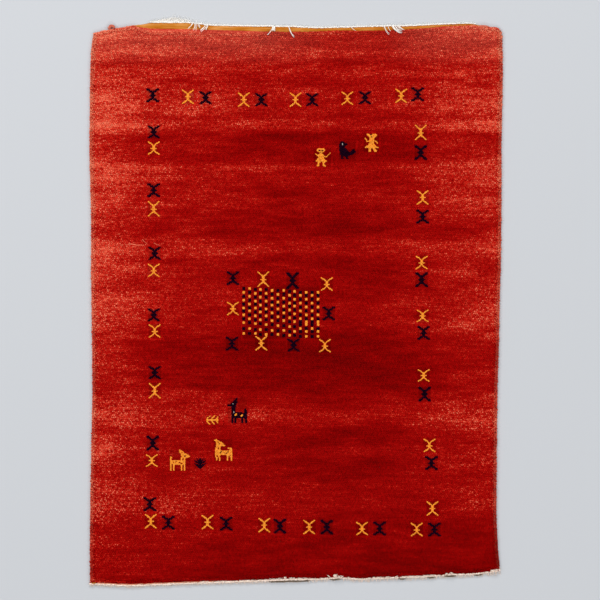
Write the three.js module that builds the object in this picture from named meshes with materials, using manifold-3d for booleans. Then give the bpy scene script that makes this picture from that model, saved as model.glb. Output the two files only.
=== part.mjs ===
// A gabbeh rug lying flat on the floor, pile up: one knotted wool cloth with flatwoven ends, overcast along
// both sides, with the cut and knotted warp ends as a short fringe at each end.
// Millimetres, +Z up, +Y towards the rug's upper end. The origin is on the floor, under the middle of the rug.
import * as THREE from "three";
import Module from "manifold-3d";

const wasm = await Module();
wasm.setup();

// Driving sizes
const WIDTH = 1500; // over both overcast sides
const PILE_LENGTH = 2000; // of the knotted part, without the flatwoven ends
const PILE_HEIGHT = 13; // foundation and pile together
const KILIM_THICKNESS = 3;
const KILIM_OVERLAP = 5; // how far a flatwoven end runs in under the pile
const CELL = 60; // spacing of the cloth's grid
const END_STEP = 30; // spacing of the stations along the flatwoven ends and the fringes
const UNEVENNESS = 0.7; // how far the pile's top rises and falls
const GAP = 0.3; // left between neighbouring pieces
const SIDE_CORD = { width: 5, height: 6, corner: 1.4 };
const HEADING = { depth: 5, height: 4 }; // the row of warp knots that holds a fringe
const STRAND = { width: 4.2, height: 2.8, root: 2.5, sway: 2.2 };

// How far each side of the rug lies outside (+) or inside (-) the plain rectangle, at each y.
const SIDES = [
  { at: -1000, left: 4, right: -7 },
  { at: -930, left: 4, right: -14 },
  { at: -820, left: 4, right: -20 },
  { at: -675, left: 2, right: -20 },
  { at: -455, left: -2, right: -18 },
  { at: -310, left: -5, right: -16 },
  { at: -165, left: -4, right: -11 },
  { at: -20, left: -2, right: -9 },
  { at: 130, left: 0, right: -4 },
  { at: 345, left: 0, right: -2 },
  { at: 565, left: 6, right: -2 },
  { at: 785, left: 4, right: 2 },
  { at: 895, left: 2, right: 3 },
  { at: 950, left: -2, right: 1 },
  { at: 975, left: -5, right: 1 },
  { at: 1000, left: -9, right: -4 },
];

// The same for the two ends of the pile, at each x.
const ENDS = [
  { at: -750, lower: 11, upper: -9 },
  { at: -715, lower: 11, upper: 1 },
  { at: -685, lower: 13, upper: 7 },
  { at: -645, lower: 15, upper: 13 },
  { at: -605, lower: 16, upper: 19 },
  { at: -575, lower: 15, upper: 16 },
  { at: -535, lower: 13, upper: 12 },
  { at: -405, lower: 8, upper: 11 },
  { at: -315, lower: 5, upper: 9 },
  { at: -170, lower: 0, upper: 3 },
  { at: -40, lower: -4, upper: -1 },
  { at: 85, lower: -6, upper: 0 },
  { at: 160, lower: -11, upper: 2 },
  { at: 230, lower: -6, upper: 3 },
  { at: 305, lower: -9, upper: 4 },
  { at: 425, lower: -13, upper: 9 },
  { at: 495, lower: -16, upper: 14 },
  { at: 565, lower: -22, upper: 18 },
  { at: 650, lower: -24, upper: 21 },
  { at: 700, lower: -30, upper: 15 },
  { at: 735, lower: -34, upper: 13 },
  { at: 750, lower: -38, upper: 1 },
];

// The pile's rounded rim: how high its surface stands at each distance in from the edge.
const RIM = [
  { inset: 0, height: 0 },
  { inset: 0.8, height: 6 },
  { inset: 3, height: 10 },
  { inset: 8, height: 12.4 },
  { inset: 18, height: PILE_HEIGHT },
];
const NEAR_RIM = [40, 68]; // more grid lines close to the edge, where the corners turn

// How far each flatwoven end shows beyond the pile, at each x.
const UPPER_KILIM = [
  { at: -630, depth: 1.5 },
  { at: -605, depth: 2.5 },
  { at: -575, depth: 8 },
  { at: -540, depth: 18 },
  { at: -405, depth: 19 },
  { at: -315, depth: 11 },
  { at: -150, depth: 15 },
  { at: -30, depth: 17 },
  { at: 70, depth: 11 },
  { at: 180, depth: 11 },
  { at: 305, depth: 13 },
  { at: 425, depth: 10 },
  { at: 540, depth: 8 },
  { at: 630, depth: 7 },
  { at: 690, depth: 2 },
];
const LOWER_KILIM = [
  { at: -750, depth: 4 },
  { at: -600, depth: 5 },
  { at: -120, depth: 5 },
  { at: 60, depth: 3 },
  { at: 750, depth: 2.5 },
];

// How long the fringe's strands are beyond their heading, at each x.
const UPPER_FRINGE = [
  { at: -540, length: 5 },
  { at: -510, length: 14 },
  { at: -450, length: 24 },
  { at: -390, length: 13 },
  { at: -330, length: 7 },
  { at: 20, length: 5 },
  { at: 100, length: 9 },
  { at: 260, length: 6 },
  { at: 420, length: 8 },
  { at: 660, length: 4 },
];
const LOWER_FRINGE = [
  { at: -750, length: 8 },
  { at: -420, length: 7 },
  { at: -120, length: 9 },
  { at: 140, length: 11 },
  { at: 420, length: 10 },
  { at: 690, length: 12 },
  { at: 750, length: 15 },
];
const STRANDS = { upper: 124, lower: 146 };

// Reads a column of a table at a place between its rows.
function read(rows, column, at) {
  const next = rows.findIndex((row) => row.at >= at);
  if (next === 0) return rows[0][column];
  if (next < 0) return rows[rows.length - 1][column];
  const from = rows[next - 1];
  const to = rows[next];
  return THREE.MathUtils.mapLinear(at, from.at, to.at, from[column], to[column]);
}

// Moves a point of the plain rectangle to where it lies on the uneven rug.
function place(x, y, z) {
  const halfWidth = WIDTH / 2;
  const halfLength = PILE_LENGTH / 2;
  const left = -halfWidth - read(SIDES, "left", y);
  const right = halfWidth + read(SIDES, "right", y);
  const lower = -halfLength - read(ENDS, "lower", x);
  const upper = halfLength + read(ENDS, "upper", x);
  return new THREE.Vector3(
    THREE.MathUtils.mapLinear(x, -halfWidth, halfWidth, left, right),
    THREE.MathUtils.mapLinear(y, -halfLength, halfLength, lower, upper),
    z,
  );
}

// The same small numbers on every run, from 0 to 1.
function chances(seed) {
  let state = seed;
  return () => {
    state = (state * 16807) % 2147483647;
    return state / 2147483647;
  };
}

// A closed solid from its points and triangles, turned so that its faces point out.
function solidFrom(points, triangles) {
  const enclosed = triangles.reduce((sum, [a, b, c]) => {
    const normal = new THREE.Vector3().crossVectors(points[b], points[c]);
    return sum + points[a].dot(normal);
  }, 0);
  const facingOut = enclosed > 0 ? triangles : triangles.map(([a, b, c]) => [a, c, b]);
  return new wasm.Manifold(
    new wasm.Mesh({
      numProp: 3,
      vertProperties: new Float32Array(points.flatMap((point) => point.toArray())),
      triVerts: new Uint32Array(facingOut.flat()),
    }),
  );
}

// A solid through a row of like sections, each a ring of points, closed by a flat face at both ends.
function loft(sections) {
  const sides = sections[0].length;
  const last = sections.length - 1;
  const triangles = [];
  for (let s = 0; s < last; s++) {
    for (let k = 0; k < sides; k++) {
      const a = s * sides + k;
      const b = s * sides + ((k + 1) % sides);
      triangles.push([a, b, b + sides], [a, b + sides, a + sides]);
    }
  }
  for (let k = 1; k < sides - 1; k++) {
    triangles.push([0, k + 1, k], [last * sides, last * sides + k, last * sides + k + 1]);
  }
  return solidFrom(sections.flat(), triangles);
}

// Grid lines from one edge of the pile to the other: close together at its rim, then one for each cell.
function gridLines(halfSize) {
  const insets = [...RIM.map((row) => row.inset), ...NEAR_RIM];
  const rim = insets.map((inset) => halfSize - inset);
  const cells = Math.floor((rim[rim.length - 1] - CELL / 3) / CELL);
  const inner = Array.from({ length: 2 * cells + 1 }, (_, k) => (k - cells) * CELL);
  return [...rim.map((value) => -value), ...inner, ...rim.reverse()];
}

// The gentle rise and fall of the pile's top.
function unevenness(x, y) {
  const long = Math.sin(x / 190 + 1.3) * Math.cos(y / 240 - 0.4);
  const short = Math.sin(x / 83 - y / 310) * Math.sin(y / 71 + 0.8);
  return UNEVENNESS * (0.6 * long + 0.4 * short);
}

// The knotted part: a slab with an uneven outline, a rounded rim and a softly uneven top.
function pileSlab(xLines, yLines) {
  const rimRows = RIM.length - 1;
  const columns = xLines.length;
  const rows = yLines.length;
  const points = [];
  yLines.forEach((y, j) =>
    xLines.forEach((x, i) => {
      const ring = Math.min(i, columns - 1 - i, j, rows - 1 - j);
      const height = RIM[Math.min(ring, rimRows)].height;
      const lift = ring < rimRows ? 0 : unevenness(x, y);
      points.push(place(x, y, height + lift));
    }),
  );
  const triangles = [];
  for (let j = 0; j < rows - 1; j++) {
    for (let i = 0; i < columns - 1; i++) {
      const a = j * columns + i;
      triangles.push([a, a + 1, a + columns + 1], [a, a + columns + 1, a + columns]);
    }
  }
  const lastRow = (rows - 1) * columns;
  const outline = [];
  for (let i = 0; i < columns - 1; i++) outline.push(i);
  for (let j = 0; j < rows - 1; j++) outline.push(j * columns + columns - 1);
  for (let i = columns - 1; i > 0; i--) outline.push(lastRow + i);
  for (let j = rows - 1; j > 0; j--) outline.push(j * columns);
  const contour = outline.map((index) => new THREE.Vector2(points[index].x, points[index].y));
  for (const [a, b, c] of THREE.ShapeUtils.triangulateShape(contour, [])) {
    triangles.push([outline[a], outline[c], outline[b]]);
  }
  return solidFrom(points, triangles);
}

// The stations along an end of the rug, so that neighbouring pieces turn at the same places.
function stations(from, to) {
  const count = Math.round((to - from) / END_STEP);
  return Array.from({ length: count + 1 }, (_, k) => from + k * END_STEP);
}

// A point beyond the pile's end: end is 1 for the upper end and -1 for the lower one.
function beyondPile(end, x, distance, z) {
  return place(x, end * (PILE_LENGTH / 2 + distance), z);
}

// A flatwoven end, which runs in under the pile and thins to its outer edge.
function kilimEnd(end, depths) {
  const edge = KILIM_THICKNESS * 0.6;
  return loft(
    stations(depths[0].at, depths[depths.length - 1].at).map((x) => {
      const depth = read(depths, "depth", x);
      return [
        beyondPile(end, x, -KILIM_OVERLAP, 0),
        beyondPile(end, x, depth, 0),
        beyondPile(end, x, depth, edge),
        beyondPile(end, x, depth - 1, KILIM_THICKNESS),
        beyondPile(end, x, -KILIM_OVERLAP, KILIM_THICKNESS),
      ];
    }),
  );
}

// A fringe: a heading of warp knots along the flatwoven end, with the cut warp ends lying out from it.
function fringe(end, depths, lengths, count, seed) {
  const from = lengths[0].at;
  const to = lengths[lengths.length - 1].at;
  const start = (x) => read(depths, "depth", x) + GAP;
  const heading = loft(
    stations(from, to).map((x) => [
      beyondPile(end, x, start(x), 0),
      beyondPile(end, x, start(x) + HEADING.depth, 0),
      beyondPile(end, x, start(x) + HEADING.depth, HEADING.height * 0.45),
      beyondPile(end, x, start(x) + HEADING.depth / 2, HEADING.height),
      beyondPile(end, x, start(x), HEADING.height * 0.6),
    ]),
  );
  const chance = chances(seed);
  const pitch = (to - from) / count;
  const strands = Array.from({ length: count }, (_, k) => {
    const x = from + (k + 0.5) * pitch;
    const length = read(lengths, "length", x) * (0.65 + 0.6 * chance());
    const lean = STRAND.sway * (2 * chance() - 1);
    const bend = STRAND.sway * (2 * chance() - 1);
    const root = start(x) + HEADING.depth - STRAND.root;
    const rows = [
      { out: 0, side: 0, size: 1 },
      { out: STRAND.root + length * 0.5, side: bend, size: 0.8 },
      { out: STRAND.root + length, side: lean, size: 0.35 },
    ];
    return loft(
      rows.map(({ out, side, size }) => [
        beyondPile(end, x + side - (size * STRAND.width) / 2, root + out, 0),
        beyondPile(end, x + side + (size * STRAND.width) / 2, root + out, 0),
        beyondPile(end, x + side, root + out, size * STRAND.height),
      ]),
    );
  });
  return wasm.Manifold.union([heading, ...strands]);
}

// The overcast cord along one side, flat where it lies on the floor: side is 1 for the right one.
function sideCord(side, yLines) {
  const { width, height, corner } = SIDE_CORD;
  const outer = WIDTH / 2;
  return loft(
    yLines.map((y) => [
      place(side * (outer - width), y, 0),
      place(side * (outer - corner), y, 0),
      place(side * outer, y, corner),
      place(side * outer, y, height - corner),
      place(side * (outer - corner), y, height),
      place(side * (outer - width), y, height - 0.5),
    ]),
  );
}

// A named mesh of a finished solid in its yarn's colour.
function meshOf(name, solid, colour, roughness) {
  const { numProp, vertProperties, triVerts } = solid.getMesh();
  const geometry = new THREE.BufferGeometry();
  const buffer = new THREE.InterleavedBuffer(vertProperties, numProp);
  geometry.setAttribute("position", new THREE.InterleavedBufferAttribute(buffer, 3, 0));
  geometry.setIndex(new THREE.BufferAttribute(triVerts, 1));
  const plain = geometry.toNonIndexed();
  plain.computeVertexNormals();
  const material = new THREE.MeshStandardMaterial({ color: colour, roughness, metalness: 0 });
  const mesh = new THREE.Mesh(plain, material);
  mesh.name = name;
  return mesh;
}

const RED_WOOL = 0x9c1a14;
const SIDE_WOOL = 0x8a2419;
const CREAM_COTTON = 0xdcd2c2;

const pileHalfWidth = WIDTH / 2 - SIDE_CORD.width - GAP;
const xLines = gridLines(pileHalfWidth);
const yLines = gridLines(PILE_LENGTH / 2);
const cordLines = yLines.slice(RIM.length - 2, 2 - RIM.length);

const cloth = pileSlab(xLines, yLines)
  .add(kilimEnd(1, UPPER_KILIM))
  .add(kilimEnd(-1, LOWER_KILIM));
const upperFringe = fringe(1, UPPER_KILIM, UPPER_FRINGE, STRANDS.upper, 11);
const lowerFringe = fringe(-1, LOWER_KILIM, LOWER_FRINGE, STRANDS.lower, 29);

const rug = new THREE.Group();
rug.name = "gabbeh_rug";
rug.add(
  meshOf("rug_cloth", cloth, RED_WOOL, 0.95),
  meshOf("side_cord_left", sideCord(-1, cordLines), SIDE_WOOL, 0.9),
  meshOf("side_cord_right", sideCord(1, cordLines), SIDE_WOOL, 0.9),
  meshOf("fringe_upper", upperFringe, CREAM_COTTON, 0.9),
  meshOf("fringe_lower", lowerFringe, CREAM_COTTON, 0.9),
);

// The uneven outline is centred on the origin as a whole.
const middle = new THREE.Box3().setFromObject(rug).getCenter(new THREE.Vector3());
rug.children.forEach((mesh) => mesh.position.set(-middle.x, -middle.y, 0));

export default rug;
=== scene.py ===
"""A gabbeh rug lying flat, pile up: a hand-knotted red wool pile with small gold and navy motifs, orange
flatwoven ends, overcast sides and short cream fringes. The camera looks straight down on it.

Metres, +Z up, +Y towards the rug's upper end. Tables and knot sizes are in millimetres, and MM turns them
into metres. Motifs are charted in knots, counted from the middle of the rug.
"""

import math

import bpy
import numpy as np
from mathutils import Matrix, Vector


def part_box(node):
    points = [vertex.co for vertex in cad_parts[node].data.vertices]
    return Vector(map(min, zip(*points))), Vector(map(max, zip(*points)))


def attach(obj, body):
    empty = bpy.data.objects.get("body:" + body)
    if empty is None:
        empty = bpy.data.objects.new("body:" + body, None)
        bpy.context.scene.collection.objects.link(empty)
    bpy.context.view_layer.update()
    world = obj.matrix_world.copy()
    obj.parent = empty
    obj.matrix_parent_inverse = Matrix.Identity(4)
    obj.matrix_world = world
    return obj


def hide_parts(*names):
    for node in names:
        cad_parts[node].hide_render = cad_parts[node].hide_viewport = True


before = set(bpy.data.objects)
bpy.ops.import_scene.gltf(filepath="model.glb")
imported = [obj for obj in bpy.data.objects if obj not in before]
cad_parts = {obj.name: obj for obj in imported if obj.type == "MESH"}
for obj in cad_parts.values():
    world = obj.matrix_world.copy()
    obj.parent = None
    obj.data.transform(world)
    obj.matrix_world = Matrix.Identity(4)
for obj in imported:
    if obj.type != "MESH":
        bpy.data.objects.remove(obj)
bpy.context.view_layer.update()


def table(columns, *rows):
    """A table as a list of its rows, each with a value for every named column."""
    return [dict(zip(columns.split(), row)) for row in rows]


MM = 0.001
chance = np.random.default_rng(28)

# The rug's plain rectangle and its layers
WIDTH = 1500.0
PILE_LENGTH = 2000.0
SIDE_CORD_WIDTH = 5.0
SIDE_CORD_HEIGHT = 6.0
GAP = 0.3
PILE_WIDTH = WIDTH - 2 * (SIDE_CORD_WIDTH + GAP)
GROUND_TOP = 10.2  # height of the dense wool between the tufts
GROUND_BACK = 0.5  # the back stands this far off the floor, on its knots
GROUND_CELLS = {"across": 100, "along": 136}
TUFT_TOP = 13.2
UNEVENNESS = 0.7  # how far the pile's top rises and falls
KILIM_THICKNESS = 3.0
HEADING_DEPTH = 5.0
UPPER_HEADING = {"pitch": 4.6, "depth": 2.4, "height": 4.0}
LOWER_HEADING = {"pitch": 7.6, "depth": 3.6, "height": 9.0}

# The knots, as a weaver counts them
KNOT = 3.57  # 28 knots to 100 mm
TUFT_PITCH_ACROSS = 7.0
TUFT_PITCH_ALONG = 6.6
RIM_PITCH = 4.2
RIM_INSETS = (1.5, 5.0, 9.0)
PALE_RIM_INSETS = 2  # along the sides the first so many of them are paler: partly wear, partly painted sheen
TUFT_WIDTH = 4.9
TUFT_ROOT = GROUND_TOP * 0.55  # a tuft's base, sunk in the dense wool
TUFT_LEAN = 1.6  # of its top, towards the lower end
KNOT_ROOT = 0.15  # the back of a charted knot
KNOT_WIDTH = {"red": 2.8, "gold": 2.38, "navy": 2.5, "cream": 2.0}
OUTER_GOLD_PULL = 1.6  # how far the outer knots of a gold motif are drawn in

# The four red yarns of the plain pile: how far one is lighter than another, and its share of the tufts.
RED_YARNS = table(
    "name lift share",
    ("deep", -0.11, 0.26), ("middle", -0.04, 0.30), ("bright", 0.05, 0.26), ("pale", 0.16, 0.18),
)

# The flatwoven ends' grid and their raised wefts
WEAVE_STATION = 7
WEAVE_CELLS = 9
WEFT_PITCH = 2.6
WEFT_RISE = 0.35

# The cut, short and arching warp ends
CUT_ENDS = {"upper": 300, "lower": 620}
SHORT_ENDS = {"from": -340, "to": 745, "count": 480}
PLY_STATIONS = 8
TUBE_SIDES = 5

# The wraps of wool over a side cord
WRAP = {"pitch": 3.4, "rings": 3, "sides": 8, "slant": 0.9, "half_length": 992.0, "end": 6.0}

# How far the outermost tufts splay out over each edge
SPLAY = {"left": 7.5, "right": 7.5, "upper": 2.0, "lower": 4.5}
SPLAY_REACH = 12.0  # tufts closer to the edge than this splay

# How far each side lies outside (+) or inside (-) the plain rectangle, at each y.
SIDES = table(
    "at left right",
    (-1000, 4, -7), (-930, 4, -14), (-820, 4, -20), (-675, 2, -20), (-455, -2, -18),
    (-310, -5, -16), (-165, -4, -11), (-20, -2, -9), (130, 0, -4), (345, 0, -2), (565, 6, -2),
    (785, 4, 2), (895, 2, 3), (950, -2, 1), (975, -5, 1), (1000, -9, -4),
)

# The same for the two ends of the pile, at each x.
ENDS = table(
    "at lower upper",
    (-750, 11, -9), (-715, 11, 1), (-685, 13, 7), (-645, 15, 13), (-605, 16, 19), (-575, 15, 16),
    (-535, 13, 12), (-405, 8, 11), (-315, 5, 9), (-170, 0, 3), (-40, -4, -1), (85, -6, 0),
    (160, -11, 2), (230, -6, 3), (305, -9, 4), (425, -13, 9), (495, -16, 14), (565, -22, 18),
    (650, -24, 21), (700, -30, 15), (735, -34, 13), (750, -38, 1),
)

# How far the pile's outermost tufts stand back from the upper flatwoven end, at each x.
STEP_BACK = table(
    "at back",
    (-600, 0.0), (-560, 9.0), (-530, 12.0), (-400, 12.0), (-200, 10.5), (-160, 8.0), (-110, 3.0),
    (30, 3.0), (80, 1.2), (180, 1.0), (210, 3.0), (490, 3.0), (530, 1.0), (640, 0.0),
)

# The pile's rounded rim: how high it stands at each distance in from the edge.
RIM = table(
    "at height",
    (-0.6, 0.15), (0.0, 0.35), (0.8, 0.6), (3.0, 0.8), (8.0, 0.95), (18.0, 1.0),
)

# How far each flatwoven end shows beyond the pile, at each x.
UPPER_KILIM = table(
    "at depth",
    (-630, 1.5), (-605, 2.5), (-575, 8), (-540, 18), (-405, 19), (-315, 11), (-150, 15), (-30, 17),
    (70, 11), (180, 11), (305, 13), (425, 10), (540, 8), (630, 7), (690, 2),
)
LOWER_KILIM = table(
    "at depth",
    (-750, 4), (-600, 5), (-120, 5), (60, 3), (750, 2.5),
)

# How long the fringe's strands are beyond their heading, at each x.
UPPER_FRINGE = table(
    "at length",
    (-540, 5), (-510, 14), (-450, 24), (-390, 13), (-330, 7), (20, 5), (100, 9), (260, 6), (420, 8),
    (660, 4),
)
LOWER_FRINGE = table(
    "at length",
    (-750, 8), (-420, 7), (-120, 9), (140, 11), (420, 10), (690, 12), (750, 15),
)

# Warp ends that have fallen forward over the upper end: where each bunch starts along the end, how far it
# reaches back over the pile, how far it swings sideways, how wide it spreads, and its number of plies.
FALLEN_ENDS = table(
    "x reach swing spread plies",
    (-387, 24, -14, 3, 2),
    (-374, 26, 0, 4, 3),
    (-364, 16, 8, 3, 2),
    (-336, 28, -16, 4, 4),
    (-330, 24, -4, 3, 3),
    (-88, 19, 2, 6, 9),
    (-92, 42, -17, 1, 2),
    (-31, 40, 21, 1, 2),
    (196, 17, 20, 1, 1),
    (320, 33, 18, 1, 2),
    (334, 24, 12, 1, 1),
    (356, 28, 26, 8, 9),
    (372, 18, 18, 6, 6),
)

# Bunches of the lower fringe that stand up over the edge of the pile, as FALLEN_ENDS.
FRAYED_ENDS = table(
    "x reach swing spread plies",
    (-330, 6, 6, 14, 8),
    (-272, 5, 2, 6, 4),
    (-232, 3, -3, 9, 7),
    (-181, 3, 3, 8, 7),
    (-126, 2, 2, 8, 6),
    (-76, 7, -4, 10, 9),
    (-57, 8, 4, 8, 8),
    (-37, 11, 2, 4, 8),
    (-8, 8, -3, 9, 8),
    (32, 6, 2, 16, 16),
    (129, 12, -7, 2, 3),
    (146, 13, 2, 6, 12),
    (164, 8, 6, 8, 10),
    (195, 5, 1, 4, 4),
    (300, 5, 2, 18, 16),
    (341, 5, -2, 8, 8),
    (370, 6, 3, 5, 6),
    (425, 4, -3, 26, 22),
    (490, 5, 2, 18, 16),
    (562, 6, 2, 14, 14),
    (574, 8, -2, 4, 6),
    (728, 7, 2, 12, 26),
)

# Stretches of the lower end where dark threads lie along the outer side of its fringe: painted shadow,
# standing for the shade under the fringe's curled edge.
SHADOW_THREAD_STRETCHES = table(
    "from to",
    (-94, 56), (130, 170), (378, 406), (484, 514), (546, 590), (656, 688),
)
SHADOW_THREAD = {"out": 3.6, "apart": 2.2, "height": 4.4, "radius": 1.7}

# The salmon cord twined along the lower end where its fringe lies lowest, and the orange tuft at the
# corner.
TWINED_CORD = {"from": -724, "to": -296, "out": 4.4, "height": 8.6, "radius": 1.7}
ORANGE_TUFT = {"from": -744, "to": -729, "out": 4.6, "height": 9.2, "radius": 2.3}

# The pale yarns that lie loose on the pile near the left side: where each one runs, and how thick it is.
STRAY_YARNS = table(
    "from to radius",
    ((-613, 217), (-556, 214), 1.4), ((-562, 235), (-550, 224), 1.0),
    ((-520, 223), (-497, 214), 0.9),
)

# The wisp of fine combed warp at the left of the upper end.
WISP = {"from": -545, "to": -425, "peak": -462, "run": 62, "rise": 17, "hairs": 170}

# The pairs of crosses: the middle of each, in knots, and how many rows of knots it is tall. The first run
# round the rug, and the last stand round its chequered centre.
CROSSES = [{"navy": (-147, 214, 14)}]
CROSSES += table(
    "gold navy",
    ((-111, 213, 15), (-93, 212, 13)),
    ((-54, 210, 15), (-36, 210, 13)),
    ((-1, 210, 15), (16, 210, 13)),
    ((52, 211, 14), (70, 212, 13)),
    ((107, 214, 15), (124, 215, 14)),
    ((127, 176, 16), (127, 156, 15)),
    ((129, 110, 15), (129, 90, 14)),
    ((128, 43, 14), (128, 26, 15)),
    ((129, -11, 13), (130, -29, 14)),
    ((130, -72, 13), (131, -91, 15)),
    ((136, -144, 14), (138, -162, 14)),
    ((139, -208, 15), (141, -230, 14)),
    ((123, -230, 14), (85, -229, 14)),
    ((67, -229, 14), (31, -227, 15)),
    ((13, -227, 15), (-17, -226, 15)),
    ((-33, -225, 15), (-72, -224, 14)),
    ((-91, -222, 15), (-131, -223, 14)),
    ((-149, -221, 15), (-150, -204, 14)),
    ((-148, -159, 13), (-147, -141, 15)),
    ((-145, -88, 16), (-145, -69, 13)),
    ((-145, -27, 14), (-146, -10, 13)),
    ((-146, 35, 14), (-145, 53, 13)),
    ((-146, 98, 16), (-146, 117, 14)),
    ((-146, 160, 14), (-146, 177, 13)),
    ((31, 21, 14), (33, -9, 14)),
    ((-65, -4, 14), (-65, 27, 14)),
    ((29, -42, 14), (-66, -40, 14)),
    ((-34, 26, 16), (-4, 25, 17)),
    ((-36, -39, 15), (-3, -41, 13)),
)
CROSS_WIDTH = 13
STROKE = {"gold": 2.6, "navy": 4.0}  # the width of a cross's arms along a row, in knots
STEM = 2.5  # how far a cross's stem reaches from its middle before it parts into arms

# The chequered centre, in knots: the middle of each row of squares at its first and tenth column.
CHEQUER_LEFT = -55
CHEQUER_PITCH = 5.82
CHEQUER_COLUMNS = 14
CHEQUER_ROWS = table(
    "first tenth",
    (17, 14), (13, 10), (9, 6), (5, 2), (1, -1), (-3, -5), (-6, -9), (-10, -13), (-14, -17),
    (-18, -22), (-24, -27), (-29, -31),
)
# Its last four columns run out of step: two of their squares are doubled.
CHEQUER_LAST_COLUMNS = 4
CHEQUER_LAST_ROWS = table(
    "middle changes",
    (13, True), (10, True), (6, True), (2, True), (-2, True), (-6, True), (-10, True), (-14, True),
    (-17, True), (-20, False), (-24, True), (-27, True), (-32, False),
)

# Charts of the figures, a letter for each knot: Y gold, N navy, P cream, a point for the red ground.
NAVY_GOAT = """
.........N..........
........NN..........
.......NNN..........
......NNN...........
.....NNNNN..........
....NNNNNN..........
...NNPNNN...........
NNNNNNNNN...........
NNNNNNNN............
....NNNNN...........
....NNNN............
....NNNN..........N.
....NNNN.........NN.
....NNNN.........NNN
....NNPN.........NNN
....NNPNNNNNNNN..NNN
....NNNNYYNNNNNNNNNN
....NNNYYYNNNNYYNNNN
....NNNYYNNNNYYYNNNN
....NNNNNNNNNYYNNNNN
....NNNNNNNNNNNNNNNN
....NN.NN.....NN.NNN
....NN.NN.....NN..NN
....NN.NN.....NN..NN
....NN.NN.....NN..NN
....NN.NN.....NN..NN
"""
GOLD_GOAT = """
..........YY..........
...........YYY........
..........YYYYY.......
...........YY.YY......
............YYYYYY....
............YYYYYYYY..
............YYYYNYYYY.
.YY..........YYY.YYYYY
.YYY........YYYYYYYY..
.YY.........YY.YY.....
.YY.........YY.YY.....
.YYYYYYYYYYYYYYYY.....
.YYYYYY.YYYYYYYYY.....
.YYY.YYYYY..YYYYY.....
.YYYYYYYYYYY..YYY.....
.YY.YYYYYYYYYYYYY.....
.YY.YY......YY.YY.....
.YY.YY......YY.YY.....
.YY.YY......YY.YY.....
.YY.YY......YY.YY.....
.YY.YY......YY.YY.....
.YY.YY......YY.YY.....
"""
TURNED_GOAT = """
..Y................
YYYY...............
.YYYYY.............
..YY.YYY...........
..YYYYYYY..........
..YYYNYYYY.........
..YYYYYYYYY........
..YYYYYYYYYY.......
..YYYYY............
.YYY.YY.......YYYY.
.YYY.YY.......Y.YYY
.YYYYYY.........YYY
.YYYYYYYYYYYYYYYYYY
.YYYYYYNYYYYYYNYYYY
.YYYYYNYYYYYYNYYYYY
.YYYYYYYYYYY.YYYYYY
.YYYYYYYYYYYYYYYYYY
.YY.YYY......YYY.YY
.YY.YY.......YY.YYY
..YY.YY......YY..YY
..YY.YY......YY..YY
..YY.YY......YY..YY
..Y..YY......YY..YY
"""
FEATHER = """
....Y...YY...
...Y...YY...Y
.YY...YY...Y.
YY...YY...YY.
YYYYYYYYYYYYY
YYYYYYYYYYYYY
YY...YY...YY.
.YY...YY...Y.
..YY...YY...Y
...YY...Y....
"""
PLANT = """
..N..NN..N..
...N.NN.N...
N..NNNNNN..N
.NN.NNNN.NN.
..NNNNNNNN..
N...NNNN...N
.NNN.NN.NNN.
..NNNNNNNN..
...NNNNNN...
....NNNN....
.....NN.....
"""
BIRD = """
..NNN............
.NNNNN...........
.NNPNNNN.........
NNNPNNNNN........
NNNNNNN..........
NNNNNN...........
NNNNNN...........
NNNNNNN..........
NNNNNNNN......NN.
NNNNNNNNN....NNN.
.NNNNNNNNN..NNNNN
.NNNNNNNNNNNNNNNN
.NNNNNNNNNNNNNN..
.NNNNNNNNNNNNN...
..NNNNNNNNN......
..NN..NNN........
..NN...NN........
..NNN..NNN.......
"""
FIGURE_ARMS_UP = """
....YYYYYYY.......
...YYYYYYYYY......
...YYNNYNNYY......
....YYYYYYY.......
......YNY........Y
.Y....YYY.......Y.
..YY.YYYYY.....Y..
...YYYYYYYY...Y...
....YYYYYY.Y.Y....
.....YYYYYY.Y.....
....YYYYYYY.......
...YYYYYYYYY......
..YYYYYYYYYYY.....
..YYYYYYYYYYYY....
....YYY..YYY......
....YY...YY.......
....YY...YY.......
...YYY...YYY......
...YYY....YYY.....
"""
FIGURE_IN_SKIRT = """
...YYY...YYYY...
...YYYYNYYYYYY..
....YYYYYYYYYY..
.....YYYNYYYY...
.Y....YYYYYY....
.YY...YYYYY.....
..YY..YYYYY.....
...Y.YYYYYYYY...
...YYYYYYYY.YY..
......YYYYY..YY.
.....YYYYYY...Y.
.....YYYYYYY....
...YYYYYYYYYY...
..YYYYYYYYYYYY..
.YYYYYYYYYYYYYYY
.....YYY.YYY....
.....YYY..YYY...
.....YYY..YYYY..
.....YYY...YYY..
"""
FIGURES = table(
    "chart middle",
    (FIGURE_ARMS_UP, (27, 151)),
    (BIRD, (52, 158)),
    (FIGURE_IN_SKIRT, (77, 166)),
    (NAVY_GOAT, (-60, -108)),
    (FEATHER, (-86, -118)),
    (TURNED_GOAT, (-75, -148)),
    (GOLD_GOAT, (-119, -159)),
    (PLANT, (-98, -162)),
)
WOOL_OF_LETTER = {"Y": "gold", "N": "navy", "P": "cream", ".": "red"}


# Outline of the rug


def read(rows, column, at):
    """A table's column at places between its rows."""
    return np.interp(at, [row["at"] for row in rows], [row[column] for row in rows])


def uneven(x, y):
    """Where points of the plain rectangle lie on the uneven rug, in millimetres."""
    left = -WIDTH / 2 - read(SIDES, "left", y)
    right = WIDTH / 2 + read(SIDES, "right", y)
    lower = -PILE_LENGTH / 2 - read(ENDS, "lower", x)
    upper = PILE_LENGTH / 2 + read(ENDS, "upper", x)
    across = left + (right - left) * (x / WIDTH + 0.5)
    along = lower + (upper - lower) * (y / PILE_LENGTH + 0.5)
    return across, along


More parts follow.
